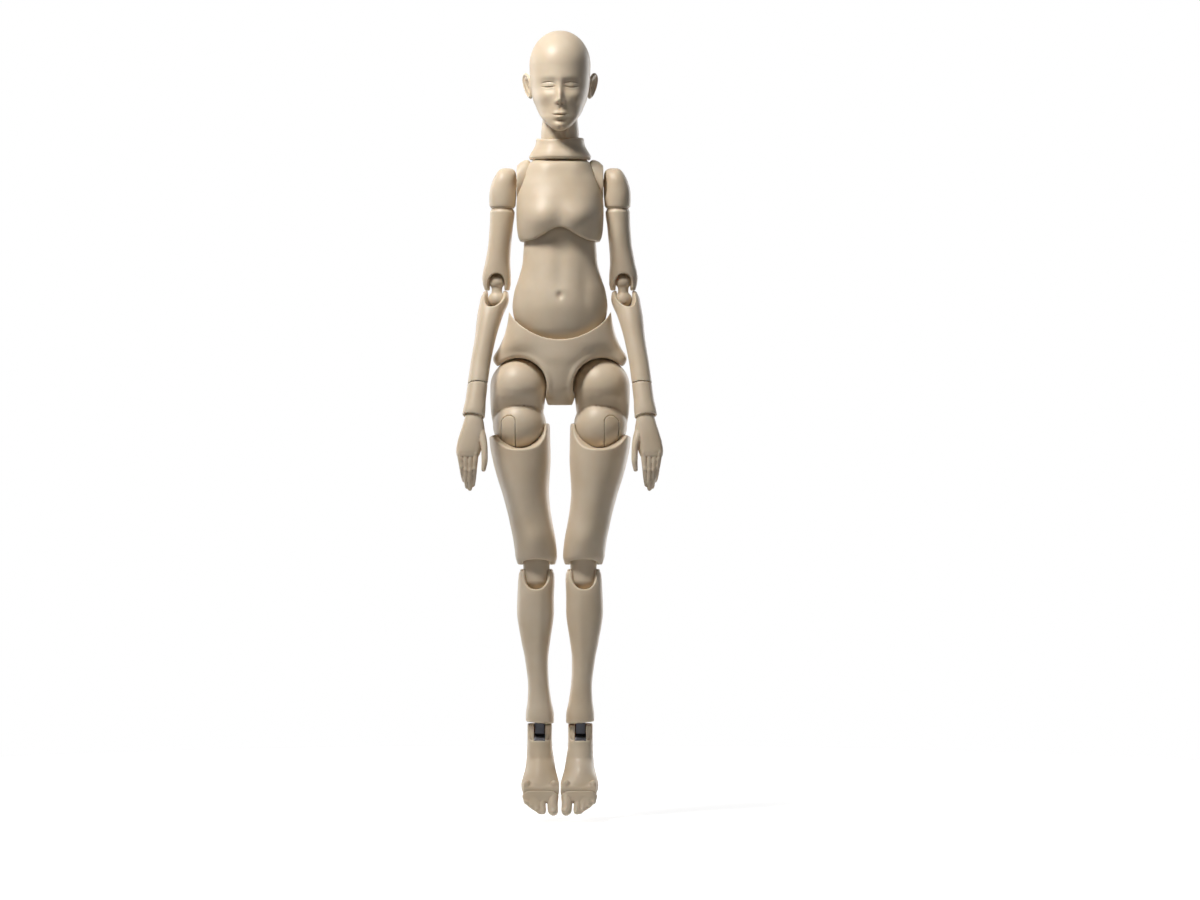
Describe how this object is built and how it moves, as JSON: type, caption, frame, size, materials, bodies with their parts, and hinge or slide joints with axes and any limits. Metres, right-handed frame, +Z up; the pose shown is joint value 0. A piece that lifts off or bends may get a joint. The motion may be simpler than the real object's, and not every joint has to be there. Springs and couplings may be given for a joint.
{
  "type": "action figure body",
  "caption": "Bald ball-jointed figure of ivory cast resin with hinged limbs, pointed feet and relaxed hands, posed by hand and displayed on a support between the legs.",
  "frame": {"origin": "centre of the pelvis' flat underside, between the legs", "axes": "+Z up along the body, -Y towards the face and toes, +X towards the figure's left hand"},
  "size_m": [0.077, 0.0349, 0.2998],
  "materials": {
    "resin": "satin ivory cast resin",
    "dark_metal": "dark grey metal"
  },
  "bodies": {
    "pelvis": {"pelvis": "resin"},
    "waist_post": {"waist_post": "resin"},
    "abdomen": {"abdomen": "resin"},
    "chest": {"chest_front": "resin", "chest_back": "resin", "chest_pin": "dark_metal"},
    "collar": {"collar": "resin"},
    "neck": {"neck": "resin"},
    "head": {"head": "resin"},
    "left_clavicle": {"left_clavicle": "resin"},
    "left_shoulder_ball": {"left_shoulder_ball": "resin"},
    "left_deltoid": {"left_deltoid": "resin"},
    "left_upper_arm": {"left_upper_arm": "resin", "left_elbow_pin_upper": "dark_metal"},
    "left_elbow_link": {"left_elbow_link": "resin"},
    "left_forearm": {"left_forearm": "resin", "left_elbow_pin_lower": "dark_metal"},
    "left_wrist_cuff": {"left_wrist_cuff": "resin", "left_wrist_pin": "dark_metal"},
    "left_hand": {"left_hand": "resin"},
    "left_hip_ball": {"left_hip_ball": "resin"},
    "left_upper_thigh": {"left_upper_thigh": "resin", "left_thigh_pin": "dark_metal"},
    "left_thigh_tongue": {"left_thigh_tongue": "resin"},
    "left_lower_thigh": {"left_lower_thigh": "resin", "left_knee_pin_upper": "dark_metal"},
    "left_knee_link": {"left_knee_link": "resin"},
    "left_shin": {"left_shin": "resin", "left_knee_pin_lower": "dark_metal"},
    "left_ankle_block": {"left_ankle_block": "dark_metal"},
    "left_foot": {"left_foot": "resin", "left_ankle_pin": "dark_metal", "left_toe_pin": "dark_metal"},
    "left_toes": {"left_toes": "resin"},
    "right_clavicle": {"right_clavicle": "resin"},
    "right_shoulder_ball": {"right_shoulder_ball": "resin"},
    "right_deltoid": {"right_deltoid": "resin"},
    "right_upper_arm": {"right_upper_arm": "resin", "right_elbow_pin_upper": "dark_metal"},
    "right_elbow_link": {"right_elbow_link": "resin"},
    "right_forearm": {"right_forearm": "resin", "right_elbow_pin_lower": "dark_metal"},
    "right_wrist_cuff": {"right_wrist_cuff": "resin", "right_wrist_pin": "dark_metal"},
    "right_hand": {"right_hand": "resin"},
    "right_hip_ball": {"right_hip_ball": "resin"},
    "right_upper_thigh": {"right_upper_thigh": "resin", "right_thigh_pin": "dark_metal"},
    "right_thigh_tongue": {"right_thigh_tongue": "resin"},
    "right_lower_thigh": {"right_lower_thigh": "resin", "right_knee_pin_upper": "dark_metal"},
    "right_knee_link": {"right_knee_link": "resin"},
    "right_shin": {"right_shin": "resin", "right_knee_pin_lower": "dark_metal"},
    "right_ankle_block": {"right_ankle_block": "dark_metal"},
    "right_foot": {"right_foot": "resin", "right_ankle_pin": "dark_metal", "right_toe_pin": "dark_metal"},
    "right_toes": {"right_toes": "resin"}
  },
  "joints": [
    {"name": "waist_turn", "type": "hinge", "parent": "pelvis", "child": "waist_post", "pos_m": [0, 0, 0.0424], "axis": [0, 0, 1], "range_deg": [-25, 25]},
    {"name": "waist_bend", "type": "hinge", "parent": "waist_post", "child": "abdomen", "pos_m": [0, 0, 0.0424], "axis": [1, 0, 0], "range_deg": [-14, 14]},
    {"name": "chest_bend", "type": "hinge", "parent": "abdomen", "child": "chest", "pos_m": [0, 0, 0.0657], "axis": [1, 0, 0], "range_deg": [-10, 10]},
    {"name": "collar_tilt", "type": "hinge", "parent": "chest", "child": "collar", "pos_m": [0, 0.002, 0.0915], "axis": [1, 0, 0], "range_deg": [-5, 5]},
    {"name": "neck_turn", "type": "hinge", "parent": "collar", "child": "neck", "pos_m": [0, 0.002, 0.0915], "axis": [0, 0, 1], "range_deg": [-45, 45]},
    {"name": "head_nod", "type": "hinge", "parent": "neck", "child": "head", "pos_m": [0, 0.002, 0.116], "axis": [1, 0, 0], "range_deg": [-12, 10]},
    {"name": "left_clavicle_swing", "type": "hinge", "parent": "chest", "child": "left_clavicle", "pos_m": [0.0123, 0.002, 0.0865], "axis": [0, 0, -1], "range_deg": [-10, 10]},
    {"name": "left_shoulder_swing", "type": "hinge", "parent": "left_clavicle", "child": "left_shoulder_ball", "pos_m": [0.0216, 0.002, 0.085], "axis": [-1, 0, 0], "range_deg": [-40, 150]},
    {"name": "left_shoulder_lift", "type": "hinge", "parent": "left_shoulder_ball", "child": "left_deltoid", "pos_m": [0.0216, 0.002, 0.085], "axis": [0, -1, 0], "range_deg": [0, 73]},
    {"name": "left_arm_turn", "type": "hinge", "parent": "left_deltoid", "child": "left_upper_arm", "pos_m": [0.0216, 0.002, 0.0753], "axis": [0, 0, -1], "range_deg": [-60, 15]},
    {"name": "left_elbow_upper", "type": "hinge", "parent": "left_upper_arm", "child": "left_elbow_link", "pos_m": [0.0242, 0.002, 0.0488], "axis": [-1, 0, 0], "range_deg": [0, 65]},
    {"name": "left_elbow_lower", "type": "hinge", "parent": "left_elbow_link", "child": "left_forearm", "pos_m": [0.0242, 0.002, 0.04], "axis": [-1, 0, 0], "range_deg": [-20, 45]},
    {"name": "left_wrist_turn", "type": "hinge", "parent": "left_forearm", "child": "left_wrist_cuff", "pos_m": [0.0313, -0.00963, 0.00805], "axis": [0, 0.342, 0.9397], "range_deg": [-45, 90]},
    {"name": "left_hand_flex", "type": "hinge", "parent": "left_wrist_cuff", "child": "left_hand", "pos_m": [0.0325, -0.01339, -0.00229], "axis": [-1, 0, 0], "range_deg": [-40, 40]},
    {"name": "left_hip_flex", "type": "hinge", "parent": "pelvis", "child": "left_hip_ball", "pos_m": [0.0159, 0.001, 0.007], "axis": [-1, 0, 0], "range_deg": [-15, 62]},
    {"name": "left_hip_spread", "type": "hinge", "parent": "left_hip_ball", "child": "left_upper_thigh", "pos_m": [0.0159, 0.001, 0.007], "axis": [0, 1, 0], "range_deg": [-33, 0]},
    {"name": "left_thigh_bend", "type": "hinge", "parent": "left_upper_thigh", "child": "left_thigh_tongue", "pos_m": [0.0155, 0.001, -0.0077], "axis": [1, 0, 0], "range_deg": [0, 38]},
    {"name": "left_thigh_turn", "type": "hinge", "parent": "left_thigh_tongue", "child": "left_lower_thigh", "pos_m": [0.0155, 0.001, -0.0077], "axis": [0, 0, -1], "range_deg": [-35, 0]},
    {"name": "left_knee_upper", "type": "hinge", "parent": "left_lower_thigh", "child": "left_knee_link", "pos_m": [0.009, 0.001, -0.0579], "axis": [1, 0, 0], "range_deg": [0, 60]},
    {"name": "left_knee_lower", "type": "hinge", "parent": "left_knee_link", "child": "left_shin", "pos_m": [0.009, 0.001, -0.0671], "axis": [1, 0, 0], "range_deg": [0, 60]},
    {"name": "left_ankle_turn", "type": "hinge", "parent": "left_shin", "child": "left_ankle_block", "pos_m": [0.0078, 0.0015, -0.121], "axis": [0, 0, -1], "range_deg": [-25, 0]},
    {"name": "left_foot_flex", "type": "hinge", "parent": "left_ankle_block", "child": "left_foot", "pos_m": [0.0078, 0.0015, -0.1295], "axis": [-1, 0, 0], "range_deg": [-5, 60]},
    {"name": "left_toe_flex", "type": "hinge", "parent": "left_foot", "child": "left_toes", "pos_m": [0.0073, -0.009, -0.1462], "axis": [-1, 0, 0], "range_deg": [-10, 40]},
    {"name": "right_clavicle_swing", "type": "hinge", "parent": "chest", "child": "right_clavicle", "pos_m": [-0.0123, 0.002, 0.0865], "axis": [0, 0, 1], "range_deg": [-10, 10]},
    {"name": "right_shoulder_swing", "type": "hinge", "parent": "right_clavicle", "child": "right_shoulder_ball", "pos_m": [-0.0216, 0.002, 0.085], "axis": [-1, 0, 0], "range_deg": [-40, 150]},
    {"name": "right_shoulder_lift", "type": "hinge", "parent": "right_shoulder_ball", "child": "right_deltoid", "pos_m": [-0.0216, 0.002, 0.085], "axis": [0, 1, 0], "range_deg": [0, 73]},
    {"name": "right_arm_turn", "type": "hinge", "parent": "right_deltoid", "child": "right_upper_arm", "pos_m": [-0.0216, 0.002, 0.0753], "axis": [0, 0, 1], "range_deg": [-60, 15]},
    {"name": "right_elbow_upper", "type": "hinge", "parent": "right_upper_arm", "child": "right_elbow_link", "pos_m": [-0.0242, 0.002, 0.0488], "axis": [-1, 0, 0], "range_deg": [0, 65]},
    {"name": "right_elbow_lower", "type": "hinge", "parent": "right_elbow_link", "child": "right_forearm", "pos_m": [-0.0242, 0.002, 0.04], "axis": [-1, 0, 0], "range_deg": [-20, 45]},
    {"name": "right_wrist_turn", "type": "hinge", "parent": "right_forearm", "child": "right_wrist_cuff", "pos_m": [-0.0313, -0.00963, 0.00805], "axis": [0, -0.342, -0.9397], "range_deg": [-45, 90]},
    {"name": "right_hand_flex", "type": "hinge", "parent": "right_wrist_cuff", "child": "right_hand", "pos_m": [-0.0325, -0.01339, -0.00229], "axis": [-1, 0, 0], "range_deg": [-40, 40]},
    {"name": "right_hip_flex", "type": "hinge", "parent": "pelvis", "child": "right_hip_ball", "pos_m": [-0.0159, 0.001, 0.007], "axis": [-1, 0, 0], "range_deg": [-15, 62]},
    {"name": "right_hip_spread", "type": "hinge", "parent": "right_hip_ball", "child": "right_upper_thigh", "pos_m": [-0.0159, 0.001, 0.007], "axis": [0, -1, 0], "range_deg": [-33, 0]},
    {"name": "right_thigh_bend", "type": "hinge", "parent": "right_upper_thigh", "child": "right_thigh_tongue", "pos_m": [-0.0155, 0.001, -0.0077], "axis": [1, 0, 0], "range_deg": [0, 38]},
    {"name": "right_thigh_turn", "type": "hinge", "parent": "right_thigh_tongue", "child": "right_lower_thigh", "pos_m": [-0.0155, 0.001, -0.0077], "axis": [0, 0, 1], "range_deg": [-35, 0]},
    {"name": "right_knee_upper", "type": "hinge", "parent": "right_lower_thigh", "child": "right_knee_link", "pos_m": [-0.009, 0.001, -0.0579], "axis": [1, 0, 0], "range_deg": [0, 60]},
    {"name": "right_knee_lower", "type": "hinge", "parent": "right_knee_link", "child": "right_shin", "pos_m": [-0.009, 0.001, -0.0671], "axis": [1, 0, 0], "range_deg": [0, 60]},
    {"name": "right_ankle_turn", "type": "hinge", "parent": "right_shin", "child": "right_ankle_block", "pos_m": [-0.0078, 0.0015, -0.121], "axis": [0, 0, 1], "range_deg": [-25, 0]},
    {"name": "right_foot_flex", "type": "hinge", "parent": "right_ankle_block", "child": "right_foot", "pos_m": [-0.0078, 0.0015, -0.1295], "axis": [-1, 0, 0], "range_deg": [-5, 60]},
    {"name": "right_toe_flex", "type": "hinge", "parent": "right_foot", "child": "right_toes", "pos_m": [-0.0073, -0.009, -0.1462], "axis": [-1, 0, 0], "range_deg": [-10, 40]}
  ]
}
